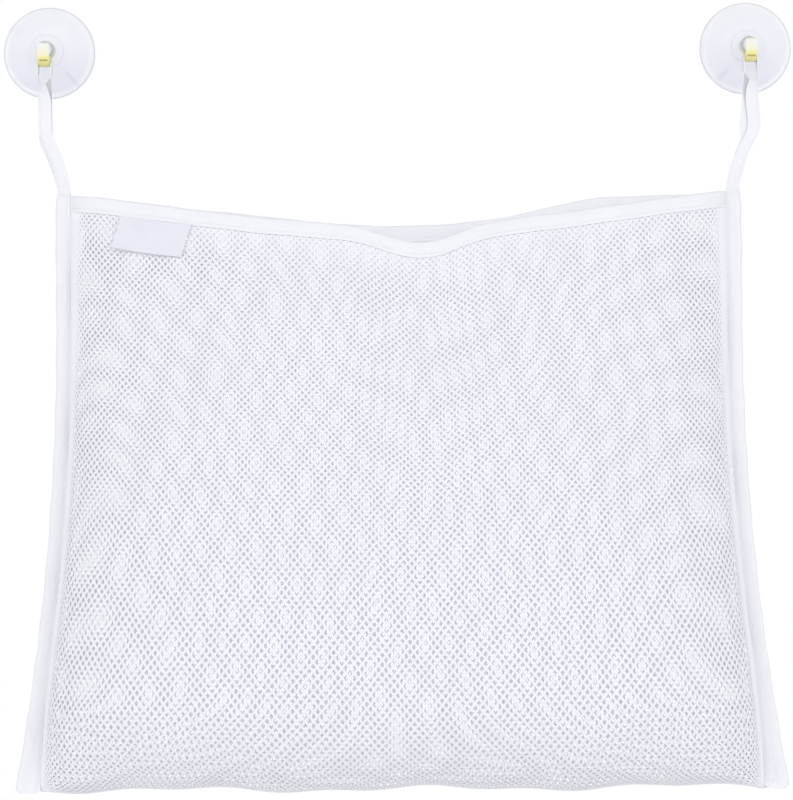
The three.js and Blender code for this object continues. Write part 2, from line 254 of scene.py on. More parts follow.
def skew(height):
    return SKEW * (1 - np.clip(height / SKEW_HEIGHT, 0, 1)) ** 2


def pouch_half(height):
    return half_width(height) - BINDING_WIDTH - 2 * CLEAR - skew(height)


def toe(height, reach):
    return np.sqrt(1 - (1 - np.clip(height / reach, 0, 1)) ** 2)


def bulge(face, height):
    if face == BACK:
        return toe(height, BACK_TOE) * (SEAM_DEPTH - WALL_GAP - LAYER - NET / 2)
    rise = np.clip((height - BELLY_HEIGHT) / (BAG_HEIGHT - BELLY_HEIGHT), 0, 1)
    return toe(height, FRONT_TOE) * lerp(BELLY_DEPTH, MOUTH_DEPTH, rise ** BELLY_TAPER)


CROWN_POWER = {FRONT: 3, BACK: 6}
SAG = {FRONT: (FRONT_SAG, FRONT_CURVE), BACK: (BACK_SAG, BACK_CURVE)}
NET_TOP = BAG_HEIGHT - CLEAR - TAPE
NET_MARGIN = 7 * MM            # of each side edge of the net, inside the binding

# Where the mouth hangs off its plain curves: the limp middle of the front hem drops further, and the back
# hem is drawn up at the right and hangs a little lower at the left
DIP, DIP_PLACE, DIP_REACH = 11 * MM, 13 * MM, 28 * MM
LIFT, LIFT_PLACE, LIFT_REACH = 4 * MM, 114 * MM, 36 * MM
SLUMP, SLUMP_PLACE, SLUMP_REACH = 1.8 * MM, -130 * MM, 34 * MM

# Half sections of the pouch: for each level, steps of equal length from the middle to the edge in the
# binding, as a distance from the middle and a share of the bulge.
LEVELS, STEPS, TURN_STEPS = 120, 240, 600


def half_sections(face):
    x_table, crown_table = [], []
    turn = np.linspace(0, math.pi / 2, TURN_STEPS)
    across = np.sin(turn) ** (2 / CROWN_POWER[face])
    for height in np.linspace(0, BAG_HEIGHT, LEVELS + 1):
        x = np.append(across * pouch_half(height), pouch_half(height) + skew(height) + NET_MARGIN)
        crown = np.append(np.cos(turn), 0)
        run = np.hypot(np.diff(x), np.diff(crown * bulge(face, height)))
        share = np.append(0, np.cumsum(run)) / run.sum()
        even = np.linspace(0, 1, STEPS + 1)
        x_table.append(np.interp(even, share, x))
        crown_table.append(np.interp(even, share, crown))
    return np.array(x_table), np.array(crown_table)


SECTIONS = {face: half_sections(face) for face in (FRONT, BACK)}


def between(table, level, step):
    """Reads a table between its lines; level and step run from 0 to 1."""
    i = np.clip(level, 0, 1) * (table.shape[0] - 1)
    j = np.clip(step, 0, 1) * (table.shape[1] - 1)
    i0 = np.minimum(i.astype(int), table.shape[0] - 2)
    j0 = np.minimum(j.astype(int), table.shape[1] - 2)
    i, j = i - i0, j - j0
    low = lerp(table[i0, j0], table[i0, j0 + 1], j)
    high = lerp(table[i0 + 1, j0], table[i0 + 1, j0 + 1], j)
    return lerp(low, high, i)


FOLD = 1.3 * MM                # height of the folds that run down from the mouth of the front
DIP_FOLDS = 24 * MM            # reach of the fine ones under the limp middle of the hem
TAG_REST = 34 * MM             # reach of the flat net under the tag
SWELL = 1.7 * MM               # height of the swells of the loaded front
BACK_FOLD = 0.8 * MM           # height of the folds of the back
PART_HEIGHT = 4 * MM           # height over which front and back part above the bottom fold
RIPPLE_HEIGHT = 22 * MM        # height over which the ripples of the bottom fold die out


def soft_form(face, x, height):
    """How far the slack net stands out from the plain pouch: drawn folds under the mouth, and swells below."""
    below = NET_TOP - height
    if face == BACK:
        return -BACK_FOLD * wave(x, 21 * MM, 1.3) * fade(below, 70 * MM)
    fine = wave(x - DIP_PLACE, 3.4 * MM, 0.6) * mound(x, DIP_PLACE, DIP_FOLDS) * fade(below, 110 * MM)
    folds = FOLD * (fine + wave(x, 9.4 * MM, 5 * below) * fade(below, 60 * MM))
    folds = folds * (1 - mound(x, TAG_PLACE, TAG_REST))
    swell = wave(x, 33 * MM, 0.4) * wave(height, 31 * MM, 0.9)
    swell = swell + 0.6 * wave(x, 19 * MM, 2.1 - height / (27 * MM))
    swell = SWELL * swell * smooth(height / (60 * MM)) * smooth(below / (160 * MM))
    return folds + swell


def pouch(face, share, height):
    """A point of the net; share runs from -1 to 1 between its edges in the two bindings."""
    x_table, crown_table = SECTIONS[face]
    x = np.sign(share) * between(x_table, height / BAG_HEIGHT, np.abs(share))
    crown = between(crown_table, height / BAG_HEIGHT, np.abs(share))
    layer = LAYER * np.clip(height / PART_HEIGHT, 0, 1)
    out = layer + (bulge(face, height) + soft_form(face, x, height)) * crown
    ripple = 1.4 * MM * wave(x, 23 * MM, 0.8) + 0.9 * MM * wave(x, 9.5 * MM)
    z = FOLD_Z + height + ripple * fade(height, RIPPLE_HEIGHT)
    return np.stack([x, -SEAM_DEPTH + face * out, z], axis=-1)


def net_top(face, share):
    """Height of the net's top edge, under the hem's fold."""
    x = np.sign(share) * between(SECTIONS[face][0], np.ones_like(share), np.abs(share))
    s = np.clip(x / pouch_half(BAG_HEIGHT), -1, 1)
    sag, curve = SAG[face]
    top = NET_TOP - sag * np.cos(s * math.pi / 2) ** curve
    if face == FRONT:
        return top - DIP * mound(x, DIP_PLACE, DIP_REACH)
    return top + LIFT * mound(x, LIFT_PLACE, LIFT_REACH) - SLUMP * mound(x, SLUMP_PLACE, SLUMP_REACH)


# Net

NET_COLUMNS = 122              # diamonds across
CELL = (4.3 * MM, 5.2 * MM)    # of the cut net
LOW_PITCH = 6.1 * MM           # height of a diamond where the load stretches it
HIGH_PITCH = 4.4 * MM          # and near the mouth
LOAD_HEIGHT = 90 * MM          # of the net that is stretched in full
LOAD_FADE = 150 * MM           # of the net above, where that eases off
BACK_SLACK = 0.89              # height of a diamond at the back, against one at the front
STRAND = 1.85 * MM             # thickness of the wire frame; a strand comes out 0.7 times as wide
SLACK_YARN = 1.45              # width of a strand at the back against one at the front
STRAND_DEPTH = 0.32            # share of the thickness that stays off the face
NET_COVER = 0.66               # share of the cut that is yarn
NET_WIDTH = NET_COLUMNS * CELL[0]
GATHER = 0.26                  # share of the full front, at each side, that is drawn together at the binding
GATHERED = 0.32                # its width, against that of the free net
GATHER_RAMP = 0.4 * GATHER     # share over which that sets in
GATHER_END = 60 * MM           # length behind the fold over which the gathers open
GATHER_STEPS = 500
ROW_STEPS = 500
DRIFT = {FRONT: 0.4 * MM, BACK: 0.6 * MM}


def row_heights(face):
    """Heights above the fold, and how many rows of diamonds lie below each."""
    height = NET_TOP * np.linspace(0, 1, ROW_STEPS) ** 2
    run = np.hypot(np.diff(height), np.diff(bulge(face, height)))
    middle = (height[1:] + height[:-1]) / 2
    pitch = lerp(LOW_PITCH, HIGH_PITCH, smooth((middle - LOAD_HEIGHT) / LOAD_FADE))
    pitch = pitch * (BACK_SLACK if face == BACK else 1)
    rows = np.append(0, np.cumsum(run / pitch))
    count = round(rows[-1])
    return height, rows * count / rows[-1], count


ROWS = {face: row_heights(face) for face in (FRONT, BACK)}
NET_LENGTH = (ROWS[FRONT][2] + ROWS[BACK][2]) * CELL[1]


def wander(x, y):
    """Uneven drift of the diamonds in the plane of the net, none at its edges or its fold."""
    top = np.where(y > 0, ROWS[FRONT][2], ROWS[BACK][2]) * CELL[1]
    free = (1 - np.clip(np.abs(x) / (NET_WIDTH / 2), 0, 1) ** 10) * smooth(np.abs(y) / (20 * MM))
    free = free * (1 - np.clip(np.abs(y) / top, 0, 1) ** 16) * np.where(y > 0, DRIFT[FRONT], DRIFT[BACK])
    aside = wave(x, 29 * MM, y / (43 * MM) + 0.5) + 0.7 * wave(x, 13 * MM, 2 - y / (19 * MM))
    aside = aside + 0.5 * wave(x, 37 * MM, y / (9 * MM))
    down = 0.9 * wave(x, 24 * MM, 1.1 - y / (31 * MM)) + 0.5 * wave(x, 12 * MM, y / (15 * MM))
    return free * aside, free * down


def gathering(share, y):
    """Width of the hung net against that of the cut: less at the sides of the front, the same at the back."""
    drawn = smooth((np.abs(share) - 1 + GATHER) / GATHER_RAMP)
    return np.where(y < 0, 1, lerp(1, GATHERED, drawn))


GATHER_TABLE = np.append(0, np.cumsum(gathering((np.arange(GATHER_STEPS) + 0.5) / GATHER_STEPS, 1)))


def on_net(x, y):
    """Where a point of the flat net hangs; y is 0 at the bottom fold, more at the front, less at the back."""
    drift_x, drift_y = wander(x, y)
    share = (x + drift_x) / (NET_WIDTH / 2)
    steps = np.arange(GATHER_STEPS + 1)
    drawn = np.interp(np.abs(share) * GATHER_STEPS, steps, GATHER_TABLE / GATHER_TABLE[-1])
    share = lerp(np.sign(share) * drawn, share, smooth(-y / GATHER_END))
    y = y + drift_y
    points = np.empty((len(x), 3))
    for face in (FRONT, BACK):
        here = (y >= 0) == (face == FRONT)
        height, rows, _ = ROWS[face]
        level = np.interp(np.abs(y[here]) / CELL[1], rows, height)
        level = level * net_top(face, share[here]) / NET_TOP
        points[here] = pouch(face, share[here], level)
    return points


def unit(v):
    return v / np.maximum(np.linalg.norm(v, axis=-1, keepdims=True), 1e-12)


def net_frame(x, y):
    """Place, way along x, way along y and way out of the net, at points of the flat net."""
    step = 0.4 * MM
    right = unit(on_net(x + step, y) - on_net(x - step, y))
    up = unit(on_net(x, y + step) - on_net(x, y - step))
    return on_net(x, y), right, up, unit(np.cross(right, up))


def hang_net(x, y, z):
    place, _, _, out = net_frame(x, y)
    return place + out * (z * STRAND_DEPTH)[:, None]


def make_net():
    """The whole net as flat diamonds, knotted, and then cut across into four pieces."""
    rows = ROWS[FRONT][2] + ROWS[BACK][2]
    whole = flat_cloth("net", NET_WIDTH, NET_LENGTH, 2 * NET_COLUMNS, 2 * rows)
    whole.location.y = NET_LENGTH / 2 - ROWS[BACK][2] * CELL[1]
    bpy.ops.object.transform_apply(location=True)
    apply(whole, "DECIMATE", decimate_type="UNSUBDIV", iterations=1)
    # Strands are wider on the flat net where it will be drawn together, so that they hang equally wide
    thickest = STRAND / GATHERED * SLACK_YARN
    group = whole.vertex_groups.new(name="strand")
    for vertex in whole.data.vertices:
        width = gathering(vertex.co.x / (NET_WIDTH / 2), vertex.co.y)
        bulk = SLACK_YARN if vertex.co.y < 0 else 1
        group.add([vertex.index], GATHERED / SLACK_YARN * bulk / float(width), "REPLACE")
    apply(whole, "WIREFRAME", thickness=thickest, use_even_offset=False, use_boundary=True,
          vertex_group=group.name)
    whole.vertex_groups.clear()
    front, back = ROWS[FRONT][2] / 2, ROWS[BACK][2] / 2
    cuts = {"net_front_top": (front, math.inf), "net_front_bottom": (0, front),
            "net_back_bottom": (-back, 0), "net_back_top": (-math.inf, -back)}
    pieces = []
    for name, (low, high) in cuts.items():
        only(whole)
        bpy.ops.object.duplicate()
        piece = bpy.context.object
        piece.name = piece.data.name = name
        for face in piece.data.polygons:
            face.select = not low <= face.center.y / CELL[1] < high
        bpy.context.tool_settings.mesh_select_mode = (False, False, True)
        bpy.ops.object.mode_set(mode="EDIT")
        bpy.ops.mesh.delete(type="FACE")
        bpy.ops.mesh.select_mode(type="EDGE")
        bpy.ops.mesh.select_non_manifold()
        bpy.ops.mesh.mark_sharp()
        bpy.ops.mesh.fill_holes(sides=0)
        bpy.ops.object.mode_set(mode="OBJECT")
        keep_flat(piece)
        bake_map(piece)
        hang(piece, hang_net)
        smooth_shade(piece, SHARP["net"])
        pieces.append(piece)
    bpy.data.objects.remove(whole)
    return pieces


# Tape

STITCH_PITCH = 2.9 * MM
STITCH_LENGTH = 2.3 * MM
THREAD = 0.42 * MM
THREAD_FLAT = 0.8              # height of a stitch against its width
CLOTH = 0.55 * MM              # tape as it is pressed by its seam
PUFF = 0.25 * MM               # swell of folded tape between its fold and its seam
DENT, DENT_REACH = 0.12 * MM, 0.6 * MM
EDGE_STEPS = 600
JUST_INSIDE = 1 - 1e-4         # keeps the hem's frame off the very edge of the net


def stitch_row(name, length, across, lift):
    """A straight row of stitches on flat tape."""
    deselect()
    bpy.ops.mesh.primitive_uv_sphere_add(segments=6, ring_count=4, radius=0.5)
    obj = bpy.context.object
    obj.name = obj.data.name = name
    bpy.ops.transform.rotate(value=math.pi / 2, orient_axis="Y", center_override=(0, 0, 0))
    bpy.ops.object.transform_apply(rotation=True)
    bpy.ops.transform.resize(value=(STITCH_LENGTH, THREAD, THREAD * THREAD_FLAT))
    bpy.ops.object.transform_apply(scale=True)
    count = int(length / STITCH_PITCH)
    obj.location = (-(count - 1) / 2 * STITCH_PITCH, across, lift)
    bpy.ops.object.transform_apply(location=True)
    apply(obj, "ARRAY", count=count, use_relative_offset=False, use_constant_offset=True,
          constant_offset_displace=(STITCH_PITCH, 0, 0))
    return obj


def tape_strip(name, length, width, place, seams, rows=26, step=2 * MM):
    """A strip of tape and its rows of stitches, laid flat and then hung."""
    strip = flat_cloth(name, length, width, round(length / step), rows)
    apply(strip, "SOLIDIFY", thickness=CLOTH, offset=0)
    keep_flat(strip)
    hang(strip, place)
    smooth_shade(strip, SHARP["tape"])
    thread = join(*[stitch_row(name + "_thread", length, across, CLOTH / 2) for across in seams])
    keep_flat(thread)
    hang(thread, place)
    smooth_shade(thread, SHARP["thread"])
    return strip, thread


def folded(y, z, gap):
    """Section of tape folded over an edge: how far past the edge, and how far to its front."""
    quarter = math.pi / 2 * gap
    turn = np.clip(y / gap, -math.pi / 2, math.pi / 2)
    flat = np.maximum(np.abs(y) - quarter, 0)
    return (gap + z) * np.cos(turn) - flat, (gap + z) * np.sin(turn)


def pressed(y, seam):
    """Swell of folded tape between its fold and its seam, and the dent of the seam."""
    y = np.abs(y)
    return PUFF * np.sin(np.clip(y / seam, 0, 1) * math.pi) ** 2 - DENT * mound(y, seam, DENT_REACH)


HEM_SEAM = 7.6 * MM
HEM_GAP = 0.65 * MM
HEM_TURN = 0.45 * MM           # of each half of the tape, taken up by its fold
HEM_ENDS = 0.998               # share of the net's edge that the hem covers


def hem_place(face):
    count = ROWS[face][2]
    edge = count * CELL[1] * (1 if face == FRONT else -1)
    share = np.linspace(-HEM_ENDS, HEM_ENDS, EDGE_STEPS)
    line = on_net(share * NET_WIDTH / 2, np.full(EDGE_STEPS, edge))
    run = np.append(0, np.cumsum(np.linalg.norm(np.diff(line, axis=0), axis=1)))
    length = run[-1]

    def place(x, y, z):
        across = np.interp(x + length / 2, run, share) * NET_WIDTH / 2
        top, _, up, out = net_frame(across, np.full(len(x), edge * JUST_INSIDE))
        up = up if face == FRONT else -up
        past, front = folded(y, z, HEM_GAP)
        front = front + np.sign(y) * pressed(y, HEM_SEAM)
        past = past + 0.15 * MM * wave(x, 6 * MM)
        return top + up * past[:, None] + out * front[:, None]

    return place, length


BINDING_SEAM = 7.4 * MM
BINDING_TURN = 0.7 * MM        # of each half of the tape, taken up by its fold
CORNER = 3 * MM                # rounding of the binding's bottom corner
BINDING_HEAD = 12 * MM         # length over which its top end narrows to the strap
BINDING_GAP = 1.2 * MM         # of its halves off the seam plane
STRAP_GAP = 1.45 * MM          # the same where they hold the ends of the strap
STRAP_HOLD, STRAP_RAMP = 34 * MM, 16 * MM    # length of that from the top, and of the change


def binding_place(hand):
    def place(x, y, z):
        height = x + (BAG_HEIGHT - BINDING_TAIL) / 2
        low = np.clip(CORNER - (height + BINDING_TAIL), 0, CORNER)
        inset = CORNER - np.sqrt(CORNER ** 2 - low ** 2)
        inset = inset + (TAPE + CLEAR) * smooth((height - BAG_HEIGHT + BINDING_HEAD) / BINDING_HEAD)
        gap = lerp(BINDING_GAP, STRAP_GAP, smooth((height - BAG_HEIGHT + STRAP_HOLD) / STRAP_RAMP))
        y = y + skew(height)
        past, front = folded(y * (1 - inset / (BINDING_WIDTH + BINDING_TURN)), z, gap)
        front = front + np.sign(y) * pressed(y, BINDING_SEAM)
        sway = 0.35 * MM * wave(height, 14 * MM, hand)
        edge = half_width(height) - gap - inset
        return np.stack([
            hand * (edge + past + 0.2 * MM * wave(height, 5 * MM)),
            -SEAM_DEPTH - front + sway,
            FOLD_Z + height,
        ], axis=-1)

    return place


FAN = {LEFT: 0.3 * MM, RIGHT: 2.4 * MM}    # spread of the two runs of a strap
FAN_DROP = 50 * MM             # below the cup axis, where they spread most
FAN_REACH = 17 * MM
KINK = {1: 3 * MM, -1: 10 * MM}    # drop of the levels where the outer and the inner run start to lean
KINK_ROUND = 0.06              # of the sloping length, taken up by the kink
LEAN_EASE = 1.7                # how much a run straightens towards the binding
STRAP_CUP = 0.25 * MM          # hollow of the strap across its width
STRAP_SET = 0.1 * MM           # of the hollow tape towards its inner side
STRAP_STEPS, CORNER_STEPS = 120, 8


def strap_line(hand):
    """Stations of a strap, up from the binding, over the hook and down: place, way across, way off its face."""
    spread = HOOK_WIDTH / 2 + CLEAR + TAPE / 2
    seat = -BEND_DROP - STRAP_SEAT + TAPE / 2
    hang_x, sewn_x = CUP_SPACING / 2, BAG_TOP_WIDTH / 2 - TAPE - CLEAR - STRAP_WIDTH / 2
    stations = []

    def level(z, way):
        turn = 1 - (1 - np.clip((-z - STRAP_FREE) / (STRAP_FLAT - STRAP_FREE), 0, 1)) ** 2
        start = STRAP_LEAN + KINK[way]
        lean = (-z - start) / (STRAP_DROP - start)
        lean = 1 - (1 - min(1, (lean + math.hypot(lean, KINK_ROUND)) / 2)) ** LEAN_EASE
        angle = turn * math.pi / 2
        out = np.array([hand * math.cos(angle), -math.sin(angle), 0])
        wide = np.array([hand * math.sin(angle), math.cos(angle), 0])
        axis = np.array([hand * lerp(hang_x, sewn_x, lean), -lerp(BEND_DEPTH, SEAM_DEPTH, lean), z])
        half = lerp(spread, (TAPE + CLEAR) / 2, turn)
        slide = way * FAN[hand] * mound(-z, FAN_DROP, FAN_REACH)
        return axis + out * way * half + wide * slide, wide, out * way

    def corner(way, k):
        a = k / CORNER_STEPS * math.pi / 2
        out = np.array([way * hand * math.cos(a), 0, math.sin(a)])
        side = hang_x + way * (spread - STRAP_CORNER)
        centre = np.array([hand * side, -BEND_DEPTH, seat - STRAP_CORNER])
        return centre + STRAP_CORNER * out, np.array([0.0, 1.0, 0.0]), out

    heights = np.linspace(-STRAP_DROP - STRAP_TUCK, seat - STRAP_CORNER, STRAP_STEPS)
    stations += [level(z, 1) for z in heights]
    stations += [corner(1, k) for k in range(1, CORNER_STEPS + 1)]
    stations += [corner(-1, k) for k in range(CORNER_STEPS, 0, -1)]
    stations += [level(z, -1) for z in heights[::-1]]
    return (np.array(part) for part in zip(*stations))


def strap_place(hand):
    line, wide, out = strap_line(hand)
    run = np.append(0, np.cumsum(np.linalg.norm(np.diff(line, axis=0), axis=1)))
    length = run[-1]

    def place(x, y, z):
        at = x + length / 2

        def read(rows):
            return np.stack([np.interp(at, run, rows[:, k]) for k in range(3)], axis=-1)

        cup = STRAP_CUP * (1 - (y / (STRAP_WIDTH / 2)) ** 2) + 0.08 * MM * wave(x, 3 * MM)
        return read(line) + unit(read(wide)) * y[:, None] + unit(read(out)) * (z + cup - STRAP_SET)[:, None]

    return place, length


# Tag

TAG_CLOTH = 0.35 * MM
TAG_TUCK = 0.5 * MM            # of its sewn end, up to the hem
TAG_OFF = 0.1 * MM             # of its sewn end off the solid tag's
TAG_CURL = 2.6 * MM            # of its free end off the net
TAG_WAVE = 0.7 * MM
TAG_DROOP = 0.8 * MM           # of its free corners


def tag_place():
    def plain(s, height):
        out = LAYER + bulge(FRONT, height) * math.sqrt(1 - abs(s) ** CROWN_POWER[FRONT])
        return np.array([s * pouch_half(height), -SEAM_DEPTH - out, FOLD_Z + height])

    def hem_foot(s):
        return NET_TOP - FRONT_SAG * math.cos(s * math.pi / 2) ** FRONT_CURVE - HEM_WIDTH

    s = TAG_PLACE / pouch_half(BAG_HEIGHT)
    step = 0.02
    wide = unit(plain(s + step, hem_foot(s + step)) - plain(s - step, hem_foot(s - step)))
    head = plain(s, hem_foot(s))
    down = plain(s, hem_foot(s) - TAG_HEIGHT) - head
    out = unit(np.cross(down, wide))
    out = out * -np.sign(out[1])
    down = unit(np.cross(out, wide))
    down = down * -np.sign(down[2])
    lift = NET / 2 + CLEAR + TAG_THICKNESS / 2

    def place(x, y, z):
        drop = lerp(-TAG_TUCK, TAG_HEIGHT, (TAG_HEIGHT / 2 - y) / TAG_HEIGHT)
        t = np.clip(drop / TAG_HEIGHT, 0, 1)
        side = x / (TAG_WIDTH / 2)
        curl = TAG_CURL * t ** 2.2 * (0.55 - 0.45 * side) + TAG_WAVE * t * np.sin(2.6 * side + 0.5)
        droop = TAG_DROOP * t * side ** 2
        return (head + wide * (x - TAG_LEAN * t)[:, None] + down * (drop - droop)[:, None]
                + out * (lift + TAG_OFF + z + curl)[:, None])

    return place


# Moulded pieces

LIP_EDGE = 0.3 * MM            # of the hollow's edge, to where the sealing lip is flat
RIM_FOOT = 0.45 * MM           # of the flat lip in from the rim
DISH_STEP = 0.22 * MM          # rise of the dish's outer band over its plain curve
BOSS_ROUND = 0.7 * MM
BOSS_INSET = 0.9 * MM
NECK_FILLET = 0.25 * MM
BUTTON_UNDER = 0.5 * MM        # rounding of the button's back edge
BORE_PAST = 1 * MM             # of the cutter past both ends of the collar
HOOK_EDGE = 0.5 * MM
HOOK_STEPS, COLLAR_STEPS = 28, 48
MERGE = 1e-6


def lathe(name, profile, x, steps=96):
    """Draws a profile of radius and depth off the wall point by point, and spins it about the cup's axis."""
    deselect()
    bpy.ops.mesh.primitive_plane_add(size=1 * MM)
    obj = bpy.context.object
    obj.name = obj.data.name = name
    bpy.ops.object.mode_set(mode="EDIT")
    bpy.ops.mesh.select_mode(type="VERT")
    bpy.ops.mesh.merge(type="CENTER")
    points = [Vector((radius, -depth, 0)) for radius, depth in profile]
    bpy.ops.transform.translate(value=points[0])
    for before, after in zip(points, points[1:]):
        bpy.ops.mesh.extrude_region_move(TRANSFORM_OT_translate={"value": after - before})
    bpy.ops.mesh.select_all(action="SELECT")
    bpy.ops.mesh.spin(steps=steps, angle=2 * math.pi, center=(0, 0, 0), axis=(0, 1, 0))
    bpy.ops.mesh.select_all(action="SELECT")
    bpy.ops.mesh.remove_doubles(threshold=MERGE)
    bpy.ops.mesh.normals_make_consistent(inside=False)
    bpy.ops.transform.translate(value=(x, 0, 0))
    bpy.ops.object.mode_set(mode="OBJECT")
    return obj


def arc(centre, radius, start, end, count):
    """Points of a profile round a corner; angles in degrees."""
    turns = np.radians(np.linspace(start, end, count))
    return [(centre[0] + radius * math.cos(a), centre[1] + radius * math.sin(a)) for a in turns]


def cup_profile():
    hollow = CUP_RADIUS - CUP_LIP
    edge = CUP_RADIUS - CUP_EDGE / 2
    top = CUP_HEIGHT - BOSS_RISE
    inside = [(hollow * math.sin(a), CUP_HOLLOW * math.cos(a)) for a in np.linspace(0, math.pi / 2, 22)]
    lip = [(hollow + LIP_EDGE, 0), (CUP_RADIUS - RIM_FOOT, 0)]
    rim = arc((edge, CUP_EDGE / 2), CUP_EDGE / 2, -90, 90, 9)[1:]
    dish = []
    for t in np.linspace(0, 1, 26)[1:]:
        rise = math.sin(t * math.pi / 2) ** 1.15
        step = DISH_STEP * (smooth((t - 0.14) / 0.05) - smooth((t - 0.6) / 0.3))
        dish.append((lerp(edge, BOSS_RADIUS, t), lerp(CUP_EDGE, top, rise) + step))
    boss = arc((BOSS_RADIUS - BOSS_INSET, CUP_HEIGHT - BOSS_ROUND), BOSS_ROUND, 0, 90, 6)
    neck = arc((NECK_RADIUS + NECK_FILLET, CUP_HEIGHT + NECK_FILLET), NECK_FILLET, 270, 180, 4)
    shaft = [(NECK_RADIUS, CUP_HEIGHT + 2 * NECK_FILLET), (NECK_RADIUS, BUTTON_BACK)]
    under = arc((BUTTON_RADIUS - BUTTON_UNDER, BUTTON_BACK + BUTTON_UNDER), BUTTON_UNDER, -90, 0, 5)
    ring = BUTTON_RADIUS - BUTTON_ROUND
    crown = arc((ring, BUTTON_FRONT - BUTTON_ROUND), BUTTON_ROUND, 0, 84, 8)
    return inside + lip + rim + dish + boss + neck + shaft + under + crown + [(0, BUTTON_FRONT)]


def make_cup(name, hand):
    obj = lathe(name, cup_profile(), hand * CUP_SPACING / 2)
    smooth_shade(obj, SHARP["cup"])
    return obj


def make_hook(name, hand):
    x = hand * CUP_SPACING / 2
    deselect()
    bpy.ops.mesh.primitive_plane_add(size=1, location=(x, -COLLAR_FRONT + HOOK_THICKNESS / 2, 0))
    obj = bpy.context.object
    obj.name = obj.data.name = name
    obj.scale = (HOOK_WIDTH, HOOK_THICKNESS, 1)
    bpy.ops.object.transform_apply(location=True, scale=True)
    bpy.ops.object.mode_set(mode="EDIT")
    bpy.ops.mesh.select_mode(type="FACE")
    bpy.ops.mesh.select_all(action="SELECT")
    bpy.ops.mesh.extrude_region_move(TRANSFORM_OT_translate={"value": (0, 0, -BEND_DROP)})
    bpy.ops.mesh.spin(steps=HOOK_STEPS, angle=math.pi, center=(x, -BEND_DEPTH, -BEND_DROP), axis=(1, 0, 0))
    bpy.ops.mesh.extrude_region_move(TRANSFORM_OT_translate={"value": (0, 0, HOOK_TIP)})
    bpy.ops.mesh.select_all(action="SELECT")
    bpy.ops.mesh.remove_doubles(threshold=MERGE)
    bpy.ops.mesh.normals_make_consistent(inside=False)
    bpy.ops.object.mode_set(mode="OBJECT")
    outer = COLLAR_BORE + COLLAR_WALL
    ring = [(COLLAR_BORE, COLLAR_BACK), (outer, COLLAR_BACK),
            (outer, COLLAR_FRONT), (COLLAR_BORE, COLLAR_FRONT)]
    collar = lathe(name + "_collar", ring + ring[:1], x, COLLAR_STEPS)
    back, front = COLLAR_BACK - BORE_PAST, COLLAR_FRONT + BORE_PAST
    cutter = [(0, back), (COLLAR_BORE, back), (COLLAR_BORE, front), (0, front)]
    bore = lathe(name + "_bore", cutter, x, COLLAR_STEPS)
    apply(obj, "BOOLEAN", operation="DIFFERENCE", object=bore, solver="EXACT")
    apply(obj, "BOOLEAN", operation="UNION", object=collar, solver="EXACT")
    for extra in (collar, bore):
        bpy.data.objects.remove(extra)
    apply(obj, "BEVEL", width=HOOK_EDGE, segments=3, limit_method="ANGLE", angle_limit=math.radians(50))
    smooth_shade(obj, SHARP["hook"])
    return obj


# Finishes

class Value:
    """A number that changes over a surface. Sums and products of values add Math nodes."""

    def __init__(self, finish, socket):
        self.finish, self.socket = finish, socket

    def maths(self, operation, *numbers):
        return self.finish.node("ShaderNodeMath", {"operation": operation}, *numbers)

    def __add__(self, other):
        return self.maths("ADD", self, other)

    def __sub__(self, other):
        return self.maths("SUBTRACT", self, other)

    def __rsub__(self, other):
        return self.maths("SUBTRACT", other, self)

    def __mul__(self, other):
        return self.maths("MULTIPLY", self, other)

    def __pow__(self, other):
        return self.maths("POWER", self, other)

    __radd__, __rmul__ = __add__, __mul__

    def sin(self):
        return self.maths("SINE", self)

    def size(self):
        return self.maths("ABSOLUTE", self)

    def near(self, middle, reach):
        """1 at the middle, falling to almost 0 at twice the reach."""
        off = (self - middle) * (1 / reach)
        return self.maths("EXPONENT", off * off * -1)

    def rise(self, start, end):
        """0 up to the start, 1 from the end on."""
        return self.finish.node("ShaderNodeMapRange", {"interpolation_type": "SMOOTHSTEP"}, self, start, end)


class Finish:
    """One material on a Principled shader."""

    def __init__(self, name, **constants):
        self.material = bpy.data.materials.new(name)
        self.material.use_nodes = True
        self.tree = self.material.node_tree
        self.shader = self.tree.nodes["Principled BSDF"]
        for socket, value in constants.items():
            self.shader.inputs[socket.replace("_", " ")].default_value = value

    def node(self, kind, settings=None, *numbers, out=0, **sockets):
        node = self.tree.nodes.new(kind)
        for name, value in (settings or {}).items():
            setattr(node, name, value)
        for key, value in [*enumerate(numbers), *sockets.items()]:
            self.put(node.inputs[key if isinstance(key, int) else key.replace("_", " ")], value)
        return Value(self, node.outputs[out])

    def put(self, socket, value):
        if isinstance(value, Value):
            self.tree.links.new(value.socket, socket)
        else:
            socket.default_value = value

    def set(self, **sockets):
        for name, value in sockets.items():
            self.put(self.shader.inputs[name.replace("_", " ")], value)

    def place(self):
        return self.node("ShaderNodeTexCoord", out="Object")

    def flat(self):
        """Place on the flat cloth, in centimetres: along, across."""
        uv = self.node("ShaderNodeUVMap", {"uv_map": "Flat"})
        return self.split(uv)[:2]

    def split(self, vector):
        node = self.node("ShaderNodeSeparateXYZ", None, vector).socket.node
        return [Value(self, output) for output in node.outputs]

    def noise(self, vector, scale, detail):
        return self.node("ShaderNodeTexNoise", None, Vector=vector, Scale=scale, Detail=detail)

    def mix(self, factor, first, second):
        node = self.tree.nodes.new("ShaderNodeMix")
        node.data_type = "RGBA"
        for key, value in ((0, factor), (6, first), (7, second)):
            self.put(node.inputs[key], value)
        return Value(self, node.outputs[2])

    def bump(self, height, distance, strength):
        return self.node("ShaderNodeBump", None, Height=height, Distance=distance, Strength=strength)


def rgb(r, g, b):
    return (r, g, b, 1)


